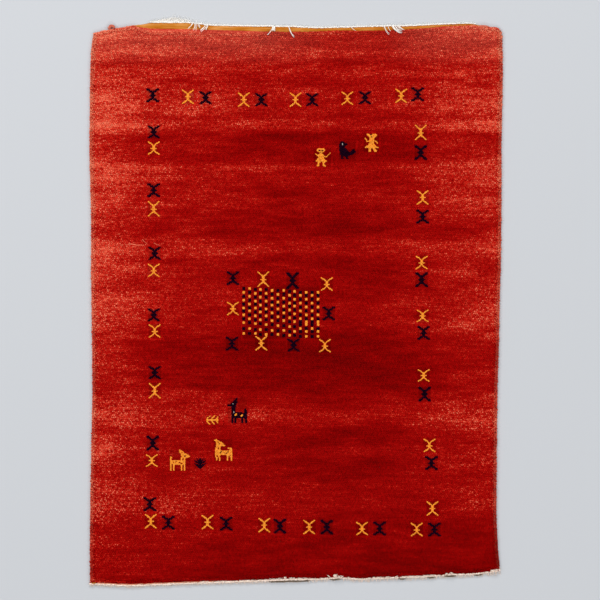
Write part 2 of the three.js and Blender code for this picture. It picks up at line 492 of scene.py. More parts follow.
def frame_shift():
    """How far the frame's model lies from these tables, measured at its left side and its upper end."""
    low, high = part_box("rug_cloth")
    rows = np.array([row["at"] for row in SIDES], float)
    left_edge, _ = uneven(np.full(len(rows), -PILE_WIDTH / 2), rows)
    stations = np.arange(UPPER_KILIM[0]["at"], UPPER_KILIM[-1]["at"] + 1, 30.0)
    _, upper_edge = uneven(stations, PILE_LENGTH / 2 + read(UPPER_KILIM, "depth", stations))
    return low.x / MM - left_edge.min(), high.y / MM - upper_edge.max()


SHIFT_X, SHIFT_Y = frame_shift()


def place(x, y, z):
    """Points of the plain rectangle as an array of places in the frame, in metres."""
    across, along = uneven(np.asarray(x, float), np.asarray(y, float))
    lift = np.broadcast_to(np.asarray(z, float), across.shape)
    return np.stack([across + SHIFT_X, along + SHIFT_Y, lift], axis=-1) * MM


def inset_from_ends(x, y):
    """How far points of the plain rectangle lie inside the pile's nearer end."""
    return np.minimum(PILE_LENGTH / 2 + y, PILE_LENGTH / 2 - read(STEP_BACK, "back", x) - y)


def rim_share(x, y):
    """How much of its full height the pile has at points of the plain rectangle."""
    inset = np.minimum(PILE_WIDTH / 2 - np.abs(x), inset_from_ends(x, y))
    return read(RIM, "height", inset)


def unevenness(x, y):
    """The gentle rise and fall of the pile's top, in millimetres."""
    long = np.sin(x / 190 + 1.3) * np.cos(y / 240 - 0.4)
    short = np.sin(x / 83 - y / 310) * np.sin(y / 71 + 0.8)
    return UNEVENNESS * (0.6 * long + 0.4 * short)


# Making pieces


def deselect():
    bpy.ops.object.select_all(action="DESELECT")


def coordinates(mesh):
    """A mesh's vertices as an array."""
    points = np.empty(len(mesh.vertices) * 3)
    mesh.vertices.foreach_get("co", points)
    return points.reshape(-1, 3)


def move_to(mesh, points):
    """Gives a mesh's vertices their new places."""
    mesh.vertices.foreach_set("co", points.ravel())
    mesh.update()


def face_out(piece):
    """Turns a closed piece's faces outwards."""
    deselect()
    piece.select_set(True)
    bpy.context.view_layer.objects.active = piece
    bpy.ops.object.mode_set(mode="EDIT")
    bpy.ops.mesh.select_all(action="SELECT")
    bpy.ops.mesh.normals_make_consistent(inside=False)
    bpy.ops.object.mode_set(mode="OBJECT")


def grid_slab(name, cells_across, cells_along):
    """A flat closed slab from -1 to 1 each way, gridded above and below, ready to be laid out."""
    deselect()
    bpy.ops.mesh.primitive_grid_add(
        x_subdivisions=cells_across, y_subdivisions=cells_along, size=2, location=(0, 0, 0)
    )
    slab = bpy.context.object
    slab.name = name
    bpy.ops.object.mode_set(mode="EDIT")
    bpy.ops.mesh.select_all(action="SELECT")
    bpy.ops.mesh.extrude_region_move(TRANSFORM_OT_translate={"value": (0, 0, 1)})
    bpy.ops.object.mode_set(mode="OBJECT")
    face_out(slab)
    return slab


def model_of(maker, **sizes):
    """Makes one small shape with an operator and takes its points and faces, to be repeated in a piece."""
    deselect()
    maker(**sizes)
    made = bpy.context.object
    points = coordinates(made.data)
    faces = [tuple(face.vertices) for face in made.data.polygons]
    bpy.data.objects.remove(made)
    return points, faces


def joined_copies(name, shape, copies):
    """One mesh of many copies of a shape: copies holds the points of each, as an array."""
    _, faces = shape
    count, size, _ = copies.shape
    corners = np.concatenate([np.array(face) for face in faces])
    lengths = np.array([len(face) for face in faces])
    starts = np.arange(count)[:, None] * size
    loops = (starts + corners[None, :]).ravel()
    totals = np.tile(lengths, count)
    mesh = bpy.data.meshes.new(name)
    mesh.vertices.add(count * size)
    mesh.vertices.foreach_set("co", copies.ravel())
    mesh.loops.add(len(loops))
    mesh.loops.foreach_set("vertex_index", loops.astype(np.int32))
    mesh.polygons.add(len(totals))
    mesh.polygons.foreach_set("loop_start", (np.cumsum(totals) - totals).astype(np.int32))
    mesh.polygons.foreach_set("loop_total", totals.astype(np.int32))
    mesh.update(calc_edges=True)
    mesh.validate()
    piece = bpy.data.objects.new(name, mesh)
    bpy.context.scene.collection.objects.link(piece)
    return piece


def finish_piece(piece, material, smooth=True):
    """Gives a piece its material, and lets it ride on the rug's one body."""
    if smooth:
        piece.data.polygons.foreach_set("use_smooth", np.ones(len(piece.data.polygons), bool))
    piece.data.materials.clear()
    piece.data.materials.append(material)
    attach(piece, "root")
    return piece


# Materials


def add_node(tree, kind, inputs=None, **settings):
    """A shader node with its settings, its values and its links."""
    made = tree.nodes.new(kind)
    for key, value in settings.items():
        setattr(made, key, value)
    for key, value in (inputs or {}).items():
        if isinstance(value, bpy.types.NodeSocket):
            tree.links.new(value, made.inputs[key])
        else:
            made.inputs[key].default_value = value
    return made


def maths(tree, operation, first, second, third=None):
    """The result of a Math node."""
    values = {0: first, 1: second}
    if third is not None:
        values[2] = third
    return add_node(tree, "ShaderNodeMath", values, operation=operation).outputs[0]


def colour_ramp(tree, factor, stops):
    """A colour ramp with a stop for each place and colour."""
    ramp = add_node(tree, "ShaderNodeValToRGB", {"Fac": factor})
    elements = ramp.color_ramp.elements
    while len(elements) < len(stops):
        elements.new(0.5)
    for element, (at, colour) in zip(elements, stops):
        element.position = at
        element.color = (*colour, 1)
    return ramp.outputs["Color"]


def noise(tree, vector, scale, detail=2.0, roughness=0.5):
    """A noise of a few octaves, from 0 to 1. The scale is one number, or one for X and one for Y."""
    if isinstance(scale, tuple):
        stretch = {"Vector": vector, "Scale": (*scale, 1.0)}
        vector = add_node(tree, "ShaderNodeMapping", stretch).outputs["Vector"]
        scale = 1.0
    inputs = {"Vector": vector, "Scale": scale, "Detail": detail, "Roughness": roughness}
    return add_node(tree, "ShaderNodeTexNoise", inputs).outputs["Fac"]


def mixed(tree, share, first, second):
    """A colour with a share of another mixed into it."""
    mix = add_node(tree, "ShaderNodeMix", {"Factor": share}, data_type="RGBA")
    tree.links.new(first, mix.inputs[6])
    mix.inputs[7].default_value = (*second, 1)
    return mix.outputs[2]


def ramp_over(tree, value, rows):
    """A ramp of plain levels read from a table, over its own range of places in metres."""
    start, end = rows[0]["at"], rows[-1]["at"]
    share = add_node(tree, "ShaderNodeMapRange", {"Value": value, "From Min": start, "From Max": end})
    stops = [((row["at"] - start) / (end - start), (row["level"],) * 3) for row in rows]
    return colour_ramp(tree, share.outputs[0], stops)


def new_yarn(name):
    """A material with its node tree and the place of a point on the rug, as a socket."""
    material = bpy.data.materials.new(name)
    material.use_nodes = True
    place_of = add_node(material.node_tree, "ShaderNodeTexCoord").outputs["Object"]
    return material, material.node_tree, place_of


def yarn_shader(material, colour, roughness, sheen, bump_height, bump_strength, sheen_tint):
    """The principled shader of a matt yarn."""
    tree = material.node_tree
    shader = tree.nodes["Principled BSDF"]
    tree.links.new(colour, shader.inputs["Base Color"])
    shader.inputs["Roughness"].default_value = roughness
    shader.inputs["Specular IOR Level"].default_value = 0.02
    shader.inputs["Sheen Weight"].default_value = sheen
    shader.inputs["Sheen Roughness"].default_value = 0.45
    shader.inputs["Sheen Tint"].default_value = (*sheen_tint, 1)
    inputs = {"Height": bump_height, "Strength": bump_strength, "Distance": 0.0012}
    bump = add_node(tree, "ShaderNodeBump", inputs)
    tree.links.new(bump.outputs["Normal"], shader.inputs["Normal"])


# The dye lots of the red wool along the rug, from its lower end to its upper one, in metres: a level of 0
# is the deepest red and 1 the palest.
DYE_BANDS = table(
    "at level",
    (-1.03, 0.19), (-0.97, 0.23), (-0.90, 0.29), (-0.82, 0.31), (-0.76, 0.47), (-0.72, 0.42),
    (-0.66, 0.36), (-0.61, 0.29), (-0.54, 0.38), (-0.48, 0.34), (-0.43, 0.51), (-0.37, 0.46),
    (-0.32, 0.26), (-0.25, 0.21), (-0.17, 0.17), (-0.11, 0.29), (-0.05, 0.43), (0.02, 0.38),
    (0.06, 0.35), (0.13, 0.39), (0.21, 0.46), (0.27, 0.29), (0.40, 0.42), (0.50, 0.43),
    (0.56, 0.29), (0.61, 0.32), (0.66, 0.56), (0.74, 0.48), (0.84, 0.55), (0.92, 0.57),
    (0.99, 0.55),
)
# How much paler the wool grows from the rug's deepest part to its sides, across it: partly the wool's own
# paler sides, partly painted sheen, the light caught by the pile along the edges.
SIDE_PALING_AND_SHEEN = table(
    "at level",
    (-1.16, 0.80), (-1.08, 0.55), (-0.98, 0.46), (-0.90, 0.43), (-0.80, 0.335), (-0.72, 0.21),
    (-0.66, 0.19), (-0.50, 0.14), (-0.34, 0.07), (-0.16, 0.01), (0.00, 0.00), (0.14, 0.02),
    (0.26, 0.12), (0.38, 0.22), (0.50, 0.28), (0.60, 0.34),
)
# How strong that paling is, and how far right of the middle the deepest part lies, along the rug.
SIDE_PALING_STRENGTH = table(
    "at level",
    (-1.00, 0.35), (-0.80, 0.33), (-0.68, 0.53), (-0.60, 0.90), (-0.52, 0.92), (-0.38, 0.60),
    (-0.25, 1.00), (0.00, 0.98), (0.18, 0.86), (0.34, 0.98), (0.50, 0.97), (0.70, 0.90),
    (0.86, 0.28), (0.99, 0.95),
)
DEEPEST_PLACE = table(
    "at level",
    (-1.00, 0.42), (-0.80, 0.48), (-0.66, 0.20), (-0.20, 0.16), (0.10, 0.19), (0.40, 0.15),
    (0.78, 0.19), (0.92, 0.28), (0.99, 0.20),
)
# The red wool's colour at each level.
RED_STOPS = [
    (0.0, (0.16, 0.0004, 0.0004)),
    (0.3, (0.282, 0.0007, 0.0007)),
    (0.45, (0.384, 0.0026, 0.002)),
    (0.6, (0.52, 0.0105, 0.0055)),
    (0.75, (0.665, 0.046, 0.0225)),
    (0.9, (0.80, 0.135, 0.069)),
    (1.0, (0.89, 0.21, 0.118)),
]
# How much of a dusty pink is mixed into the wool towards the upper end, and across it: painted highlight, a
# pale haze of light over the upper end.
PAINTED_HAZE_ALONG = table(
    "at level",
    (0.86, 0.0), (0.93, 0.06), (0.99, 0.09),
)
PAINTED_HAZE_ACROSS = table(
    "at level",
    (-0.75, 1.0), (-0.12, 1.0), (0.02, 0.5), (0.12, 0.2), (0.32, 0.2), (0.46, 0.8), (0.75, 1.0),
)
# The dusty pink stands for that painted haze, and for the wear and painted sheen of the paler wool.
DUSTY_PINK = (0.62, 0.45, 0.28)

# Narrow lines where one dye lot ends and the next begins, in the rug's upper and its lower part: a level
# above 0.5 is a paler line, and one below it a deeper one.
UPPER_LINES = table(
    "at level",
    (0.050, 0.50), (0.110, 0.50), (0.149, 0.45), (0.182, 0.55), (0.215, 0.53), (0.252, 0.46),
    (0.300, 0.51), (0.376, 0.535), (0.401, 0.46), (0.440, 0.50), (0.471, 0.51), (0.492, 0.56),
    (0.529, 0.44), (0.573, 0.535), (0.606, 0.47), (0.638, 0.60), (0.675, 0.41), (0.708, 0.53),
    (0.735, 0.545), (0.770, 0.555), (0.806, 0.455), (0.836, 0.55), (0.876, 0.455), (0.908, 0.57),
    (0.938, 0.46), (0.970, 0.50),
)
LOWER_LINES = table(
    "at level",
    (-0.810, 0.50), (-0.756, 0.45), (-0.701, 0.53), (-0.672, 0.53), (-0.640, 0.49), (-0.610, 0.525),
    (-0.581, 0.465), (-0.551, 0.555), (-0.526, 0.46), (-0.468, 0.475), (-0.413, 0.535),
    (-0.369, 0.465), (-0.343, 0.55), (-0.310, 0.50), (-0.130, 0.50), (-0.085, 0.535),
    (-0.048, 0.46), (-0.010, 0.51), (0.030, 0.50),
)
# How strongly the wool's colour changes from knot to knot, along the rug.
GRAIN = table(
    "at level",
    (-1.00, 1.60), (-0.62, 1.25), (-0.36, 1.15), (-0.10, 1.05), (0.20, 1.00), (0.44, 1.00),
    (0.66, 1.05), (0.99, 1.00),
)

# How far the dye lots' edges and the narrow lines drift along the rug, in metres, and how much a line tells
DRIFT = {"bands": 0.12, "lines": 0.02}
LINE_STRENGTH = 1.35
# Streaks within a dye lot: how fine they are across and along the rug, and how much they tell
STREAKS = table(
    "fineness detail roughness amount",
    ((4.0, 14.0), 3.0, 0.5, 0.5), ((9.0, 50.0), 4.0, 0.68, 0.7),
)
KNOT_GRAIN = {"scale": (82.0, 125.0), "detail": 3.0, "roughness": 0.78}
# Between which levels the grain grows, and how strong it is at both of them
GRAIN_LIMITS = {"From Min": 0.37, "From Max": 0.68, "To Min": 0.10, "To Max": 1.12}
# Light flecks where the grain is calm: from how high in the grain they start, and their strength
FLECKS = {"above": 0.6, "strength": 2.1}


def vary(tree, level, pattern, amount):
    """The level raised and lowered by a noise."""
    return maths(tree, "MULTIPLY_ADD", maths(tree, "SUBTRACT", pattern, 0.5), amount, level)


def red_wool(name, lift, wear_and_sheen=(0.0, 0.0)):
    """Red wool in uneven dye lots, paler to the sides and the upper end: the paler sides are partly painted
    sheen, the pink towards the upper end a painted haze.

    lift sets one yarn off another. wear_and_sheen is how much dusty pink is mixed in, at the lower end and
    above it: partly wear, partly painted sheen.
    """
    material, tree, place_of = new_yarn(name)
    split = add_node(tree, "ShaderNodeSeparateXYZ", {"Vector": place_of})
    across, along = split.outputs["X"], split.outputs["Y"]
    drift = noise(tree, place_of, (3.0, 2.0))
    band = ramp_over(tree, vary(tree, along, drift, DRIFT["bands"]), DYE_BANDS)
    # Paler towards the sides: partly the wool's own tone, partly painted sheen.
    from_deepest = maths(tree, "SUBTRACT", across, ramp_over(tree, along, DEEPEST_PLACE))
    side_paling_and_sheen = ramp_over(tree, from_deepest, SIDE_PALING_AND_SHEEN)
    level = maths(tree, "MULTIPLY_ADD", side_paling_and_sheen, ramp_over(tree, along, SIDE_PALING_STRENGTH), band)
    line_place = vary(tree, along, drift, DRIFT["lines"])
    for lines in (UPPER_LINES, LOWER_LINES):
        level = vary(tree, level, ramp_over(tree, line_place, lines), LINE_STRENGTH)
    for row in STREAKS:
        streaks = noise(tree, place_of, row["fineness"], row["detail"], row["roughness"])
        level = vary(tree, level, streaks, row["amount"])
    grain = noise(tree, place_of, **KNOT_GRAIN)
    strength = add_node(tree, "ShaderNodeMapRange", {"Value": level, **GRAIN_LIMITS}).outputs[0]
    strength = maths(tree, "MULTIPLY", strength, ramp_over(tree, along, GRAIN))
    level = vary(tree, level, grain, strength)
    level = maths(tree, "MULTIPLY_ADD", strength, lift, level)
    flecks = maths(tree, "MAXIMUM", maths(tree, "SUBTRACT", grain, FLECKS["above"]), 0.0)
    in_calm = maths(tree, "MAXIMUM", maths(tree, "SUBTRACT", 1.0, strength), 0.0)
    level = maths(tree, "MULTIPLY_ADD", flecks, maths(tree, "MULTIPLY", in_calm, FLECKS["strength"]), level)
    colour = colour_ramp(tree, level, RED_STOPS)
    # Dusty pink mixed in: a painted pale haze towards the upper end, and wear with painted sheen where the
    # wool is paler.
    wear_and_sheen_along = ramp_over(tree, along, table("at level", (-0.86, wear_and_sheen[0]), (-0.76, wear_and_sheen[1])))
    haze_wear_and_sheen = ramp_over(tree, along, PAINTED_HAZE_ALONG)
    haze_wear_and_sheen = maths(tree, "MULTIPLY_ADD", haze_wear_and_sheen, ramp_over(tree, across, PAINTED_HAZE_ACROSS), wear_and_sheen_along)
    haze_wear_and_sheen = maths(tree, "MULTIPLY", haze_wear_and_sheen, maths(tree, "MULTIPLY", grain, 2.0))
    colour = mixed(tree, haze_wear_and_sheen, colour, DUSTY_PINK)
    fibres = noise(tree, place_of, 900.0, 3.0, 0.6)
    yarn_shader(material, colour, 0.95, 0.03, fibres, 0.5, (1.0, 0.2, 0.12))
    return material


def dyed_wool(name, dark, light, bump_scale=900.0, sheen=0.08, bump=0.5):
    """Wool of one dye, a little darker and lighter from knot to knot."""
    material, tree, place_of = new_yarn(name)
    grain = noise(tree, place_of, 210.0, 2.0, 0.7)
    colour = colour_ramp(tree, grain, [(0.3, dark), (0.7, light)])
    fibres = noise(tree, place_of, bump_scale, 3.0, 0.6)
    yarn_shader(material, colour, 0.95, sheen, fibres, bump, light)
    return material


def flatweave_wool(name, dark, light, dull):
    """Orange weft-faced weave: fine ribs across the end, with paler and browner wefts."""
    material, tree, place_of = new_yarn(name)
    wefts = noise(tree, place_of, (14.0, 420.0), 3.0, 0.6)
    patches = noise(tree, place_of, (9.0, 30.0))
    shade = maths(tree, "MULTIPLY_ADD", patches, 0.6, maths(tree, "MULTIPLY", wefts, 0.7))
    colour = colour_ramp(tree, shade, [(0.42, dull), (0.62, dark), (0.85, light)])
    ribs = noise(tree, place_of, (260.0, 900.0))
    yarn_shader(material, colour, 0.9, 0.08, ribs, 0.6, light)
    return material


# The pile


def red_ground(material):
    """The dense wool under the tufts, from the rug's back to the foot of the cut pile."""
    slab = grid_slab("pile_ground", GROUND_CELLS["across"], GROUND_CELLS["along"])
    points = coordinates(slab.data)
    x = points[:, 0] * PILE_WIDTH / 2
    y = points[:, 1] * PILE_LENGTH / 2
    top = points[:, 2] > 0.5
    share = rim_share(x, y)
    height = np.where(top, GROUND_TOP * share + unevenness(x, y), GROUND_BACK)
    move_to(slab.data, place(x, y, height))
    return finish_piece(slab, material)


def chart_rows(chart):
    """A chart's letters as an array, from its upper row to its lower one."""
    return np.array([list(row) for row in chart.split()])


def cross_chart(rows, wool):
    """The chart of one cross: two arms above, two below, and a short bar over the stem."""
    column, row = np.meshgrid(np.arange(CROSS_WIDTH), np.arange(rows))
    from_middle = np.abs(row - (rows - 1) / 2)
    from_stem = np.abs(column - (CROSS_WIDTH - 1) / 2)
    slope = (CROSS_WIDTH / 2 - 1.0) / (rows / 2 - 0.5 - STEM)
    reach = np.clip(from_middle - STEM, 0, None) * slope
    on_arm = (np.abs(from_stem - reach) < STROKE[wool] / 2) & (from_middle >= STEM)
    on_stem = (from_stem < 1.2) & (from_middle < STEM + 1)
    if wool == "navy":
        on_stem = on_stem | (from_stem < 2.2) & (from_middle < 1.1)
    on_bar = (np.abs(row - (rows - 1) / 2 - 0.25) < 0.6) & (from_stem < 3.5)
    letter = {"gold": "Y", "navy": "N"}[wool]
    return np.where(on_arm | on_stem | on_bar, letter, ".")


def chart_cells(chart, middle):
    """The rug's knots that a chart fills, counted from the middle of the rug, each with its letter."""
    rows, columns = chart.shape
    cells = {}
    for row in range(rows):
        for column in range(columns):
            cell = (middle[0] + column - columns // 2, middle[1] + rows // 2 - row)
            cells[cell] = chart[row, column]
    return cells


def chequer_cells():
    """The knots of the chequered centre, as chart_cells gives them."""
    width = round(CHEQUER_PITCH * CHEQUER_COLUMNS) - 2
    low = min(row["middle"] for row in CHEQUER_LAST_ROWS) - 2
    high = CHEQUER_ROWS[0]["first"] + 2
    cells = {(CHEQUER_LEFT + column, row): "." for column in range(width) for row in range(low, high + 1)}
    for number in range(CHEQUER_COLUMNS):
        left = CHEQUER_LEFT + round(number * CHEQUER_PITCH)
        if number < CHEQUER_COLUMNS - CHEQUER_LAST_COLUMNS:
            share = number / (CHEQUER_COLUMNS - CHEQUER_LAST_COLUMNS - 1)
            middles = [row["first"] + (row["tenth"] - row["first"]) * share for row in CHEQUER_ROWS]
            changes = [True] * len(middles)
        else:
            middles = [row["middle"] for row in CHEQUER_LAST_ROWS]
            changes = [row["changes"] for row in CHEQUER_LAST_ROWS]
        turn = number + 1
        for middle, change in zip(middles, changes):
            turn += int(change)
            for column in (left, left + 1, left + 2):
                for row in (-1, 0, 1):
                    cells[(column, round(middle) + row)] = "NY"[turn % 2]
    return cells


def motif_knots():
    """The charted knots of each wool as places from the middle of the rug, and the boxes that they fill."""
    charts = []
    for pair in CROSSES:
        for wool, (x, y, rows) in pair.items():
            charts.append(chart_cells(cross_chart(rows, wool), (x, y)))
    charts.append(chequer_cells())
    charts.extend(chart_cells(chart_rows(row["chart"]), row["middle"]) for row in FIGURES)
    letters = {}
    boxes = []
    for cells in charts:
        places = np.array(list(cells)) * KNOT
        boxes.append((*places.min(axis=0), *places.max(axis=0)))
        for cell, letter in cells.items():
            if letter != "." or cell not in letters:
                letters[cell] = letter
    wools = {wool: [] for wool in WOOL_OF_LETTER.values()}
    for cell, letter in letters.items():
        wools[WOOL_OF_LETTER[letter]].append(cell)
    return {wool: np.array(cells) * KNOT for wool, cells in wools.items()}, boxes


def tufts_at(shape, x, y, base, top, width, lean, turn=None):
    """The points of a tuft at each place, in metres, from its base up to its top, which lean moves."""
    points, _ = shape
    count = len(x)
    if turn is None:
        turn = chance.uniform(0, 2 * math.pi, count)
    size = width * chance.uniform(0.85, 1.15, count)
    local_x = points[:, 0][None, :] * size[:, None]
    local_y = points[:, 1][None, :] * size[:, None]
    rise = points[:, 2][None, :]
    turned_x = local_x * np.cos(turn)[:, None] - local_y * np.sin(turn)[:, None]
    turned_y = local_x * np.sin(turn)[:, None] + local_y * np.cos(turn)[:, None]
    lean_x, lean_y = lean
    out_x = x[:, None] + turned_x + rise * lean_x[:, None]
    out_y = y[:, None] + turned_y + rise * lean_y[:, None]
    out_z = base + rise * (top - base)[:, None]
    return np.stack([out_x, out_y, out_z], axis=-1) * MM


def tuft_shape(sides, cut):
    """A tuft of unit width and height: a short cone with a cut top, standing on its base."""
    points, faces = model_of(
        bpy.ops.mesh.primitive_cone_add, vertices=sides, radius1=1.0, radius2=cut, depth=1.0
    )
    points[:, 2] += 0.5
    return points, faces


def field_tufts(boxes):
    """Where the plain pile's tufts stand: x, y in the plain rectangle, with the charted boxes left free."""
    columns = int(PILE_WIDTH / TUFT_PITCH_ACROSS)
    rows = int(PILE_LENGTH / TUFT_PITCH_ALONG)
    column, row = np.meshgrid(np.arange(columns), np.arange(rows))
    stagger = 0.5 * (row % 2)
    x = (column + 0.5 + stagger - columns / 2 - 0.25) * (PILE_WIDTH - 6) / columns
    y = (row + 0.5 - rows / 2) * (PILE_LENGTH - 6) / rows
    x = (x + chance.uniform(-1.6, 1.6, x.shape)).ravel()
    y = (y + chance.uniform(-1.2, 1.2, y.shape)).ravel()
    real_x, real_y = uneven(x, y)
    free = inset_from_ends(x, y) > 2.0
    for low_x, low_y, high_x, high_y in boxes:
        inside_x = (real_x > low_x - KNOT) & (real_x < high_x + KNOT)
        inside_y = (real_y > low_y - KNOT) & (real_y < high_y + KNOT)
        free &= ~(inside_x & inside_y)
    return x[free], y[free]


def scattered(xs, ys):
    """Joins places into two arrays and moves each a little at random."""
    x = np.concatenate(xs)
    y = np.concatenate(ys)
    return x + chance.uniform(-1.0, 1.0, len(x)), y + chance.uniform(-1.0, 1.0, len(y))


def end_rim_tufts():
    """Where the tufts of the rims at both ends stand, closer together than the field's."""
    xs = []
    ys = []
    for inset in RIM_INSETS:
        half_x = PILE_WIDTH / 2 - inset
        across = np.arange(-half_x, half_x, RIM_PITCH)
        xs += [across, across]
        ys.append(np.full(len(across), inset - PILE_LENGTH / 2))
        ys.append(PILE_LENGTH / 2 - inset - read(STEP_BACK, "back", across))
    return scattered(xs, ys)


def side_rim_tufts(insets):
    """Where the tufts of the rims along both sides stand."""
    xs = []
    ys = []
    for inset in insets:
        half_y = PILE_LENGTH / 2 - inset
        along = np.arange(-half_y, half_y, RIM_PITCH)
        for sign in (-1, 1):
            xs.append(np.full(len(along), sign * (PILE_WIDTH / 2 - inset)))
            ys.append(along)
    return scattered(xs, ys)


def splay(x, y):
    """How far tufts lean out over the edges that they are close to, across and along."""
    near_side = np.clip((np.abs(x) - PILE_WIDTH / 2 + SPLAY_REACH) / SPLAY_REACH, 0, 1)
    near_end = np.clip((SPLAY_REACH - inset_from_ends(x, y)) / SPLAY_REACH, 0, 1)
    across = np.where(x > 0, SPLAY["right"], -SPLAY["left"]) * near_side**2
    along = np.where(y > 0, SPLAY["upper"], -SPLAY["lower"]) * near_end**2
    return across, along


def plant_field(name, shape, x, y, material):
    """A piece of the plain pile: its tufts stand on the uneven rug and splay outwards at the rim."""
    real = place(x, y, 0) / MM
    share = rim_share(x, y)
    top = TUFT_TOP * share + unevenness(x, y) + chance.uniform(-0.7, 0.7, len(x))
    across, along = splay(x, y)
    lean_x = across + chance.uniform(-1.2, 1.2, len(x))
    lean_y = along - TUFT_LEAN + chance.uniform(-1.2, 1.2, len(x))
    copies = tufts_at(shape, real[:, 0], real[:, 1], TUFT_ROOT, top, TUFT_WIDTH, (lean_x, lean_y))
    piece = joined_copies(name, shape, copies)
    return finish_piece(piece, material)


def drawn_in(knots, pull):
    """The knots of one wool, the outer ones drawn in to their neighbours: pull is in millimetres."""
    taken = {tuple(cell) for cell in np.round(knots / KNOT).astype(int)}
    around = [(i, j) for i in (-1, 0, 1) for j in (-1, 0, 1) if (i, j) != (0, 0)]
    moved = []
    for cell in np.round(knots / KNOT).astype(int):
        near = [step for step in around if (cell[0] + step[0], cell[1] + step[1]) in taken]
        moved.append(np.mean(near, axis=0) * pull if near else (0.0, 0.0))
    return knots + np.array(moved)


def plant_motif(name, shape, knots, width, material):
    """The knots of one wool: each stands from the rug's back up through its pile."""
    x = knots[:, 0] + SHIFT_X + chance.uniform(-0.25, 0.25, len(knots))
    y = knots[:, 1] + SHIFT_Y + chance.uniform(-0.25, 0.25, len(knots))
    top = TUFT_TOP + unevenness(x, y) + chance.uniform(-0.4, 0.5, len(knots))
    lean = (chance.uniform(-0.5, 0.5, len(knots)), chance.uniform(-0.9, 0.1, len(knots)))
    sides = len(shape[0]) // 2
    turn = np.full(len(knots), math.pi / 4) if sides == 4 else None
    copies = tufts_at(shape, x, y, KNOT_ROOT, top, width, lean, turn)
    piece = joined_copies(name, shape, copies)
    return finish_piece(piece, material, smooth=False)


# The flatwoven ends


def kilim_end(name, end, depths, start_inside, material):
    """A flatwoven end with raised wefts, thinning to its outer edge: end is 1 for the upper one."""
    start, stop = depths[0]["at"], depths[-1]["at"]
    slab = grid_slab(name, int((stop - start) / WEAVE_STATION), WEAVE_CELLS)
    points = coordinates(slab.data)
    x = start + (points[:, 0] + 1) / 2 * (stop - start)
    out = (points[:, 1] + 1) / 2
    depth = read(depths, "depth", x)
    distance = -start_inside + out * (depth + start_inside)
    top = points[:, 2] > 0.5
    ribs = WEFT_RISE * np.sin(distance * 2 * math.pi / WEFT_PITCH) + 0.25 * np.sin(x / 3.1) * np.sin(x / 47)
    edge = np.clip((1 - out) * 6, 0.55, 1)
    height = np.where(top, KILIM_THICKNESS * edge + ribs * edge, 0.2)
    move_to(slab.data, place(x, end * (PILE_LENGTH / 2 + distance), height))
    face_out(slab)
    return finish_piece(slab, material)


# The fringes


def tube_along(path, radius, thin):
    """The points of a tube along a path, growing thinner to its end."""
    ahead = np.gradient(path, axis=0)
    ahead /= np.linalg.norm(ahead, axis=1, keepdims=True)
    side = np.cross(ahead, [0, 0, 1.0])
    side /= np.maximum(np.linalg.norm(side, axis=1, keepdims=True), 1e-9)
    above = np.cross(side, ahead)
    angle = (np.arange(TUBE_SIDES) * 2 * math.pi / TUBE_SIDES)[None, :, None]
    taper = radius * np.linspace(1.0, thin, len(path))
    ring = np.cos(angle) * side[:, None, :] + np.sin(angle) * above[:, None, :]
    points = path[:, None, :] + ring * taper[:, None, None]
    return points.reshape(-1, 3)


def tube_faces(steps, sides=TUBE_SIDES):
    """The faces of a closed tube of that many rings."""
    faces = []
    for s in range(steps - 1):
        for k in range(sides):
            a = s * sides + k
            b = s * sides + (k + 1) % sides
            faces.append((a, b, b + sides, a + sides))
    faces.append(tuple(range(sides))[::-1])
    last = (steps - 1) * sides
    faces.append(tuple(range(last, last + sides)))
    return faces


def tubes(name, paths, radii, thin=0.6):
    """One mesh of a tube along each path."""
    points = np.array([tube_along(path, radius * MM, thin) for path, radius in zip(paths, radii)])
    return joined_copies(name, (None, tube_faces(len(paths[0]))), points)


def loose_yarns(name, paths, radii, thin, material):
    """A piece of yarns, one along each path."""
    piece = tubes(name, paths, radii, thin)
    face_out(piece)
    return finish_piece(piece, material)


def heading_lumps(name, end, depths, lengths, sizes):
    """The row of knots that holds a fringe: lumps of uneven size, touching each other."""
    knot = model_of(bpy.ops.mesh.primitive_uv_sphere_add, segments=8, ring_count=6, radius=1.0)
    x = np.arange(lengths[0]["at"] + 2, lengths[-1]["at"], sizes["pitch"])
    count = len(x)
    x = x + chance.uniform(-1.2, 1.2, count)
    out = read(depths, "depth", x) + GAP + sizes["depth"] * 0.9 + chance.uniform(-0.8, 0.8, count)
    middles = place(x, end * (PILE_LENGTH / 2 + out), 0)
    across = sizes["pitch"] * chance.uniform(0.6, 0.95, count)
    along = sizes["depth"] * chance.uniform(0.75, 1.25, count)
    up = sizes["height"] / 2 * chance.uniform(0.75, 1.2, count)
    turn = chance.uniform(-0.6, 0.6, count)[:, None]
    local = knot[0][None, :, :] * np.stack([across, along, up], axis=-1)[:, None, :]
    x = local[..., 0] * np.cos(turn) - local[..., 1] * np.sin(turn)
    y = local[..., 0] * np.sin(turn) + local[..., 1] * np.cos(turn)
    z = local[..., 2] + up[:, None] + 0.1
    return joined_copies(name, knot, np.stack([x, y, z], axis=-1) * MM + middles[:, None, :])


def root_of(depths, x, share):
    """How far beyond the pile a warp end leaves its heading: share is how deep in it the end starts."""
    return float(read(depths, "depth", x)) + GAP + HEADING_DEPTH * share


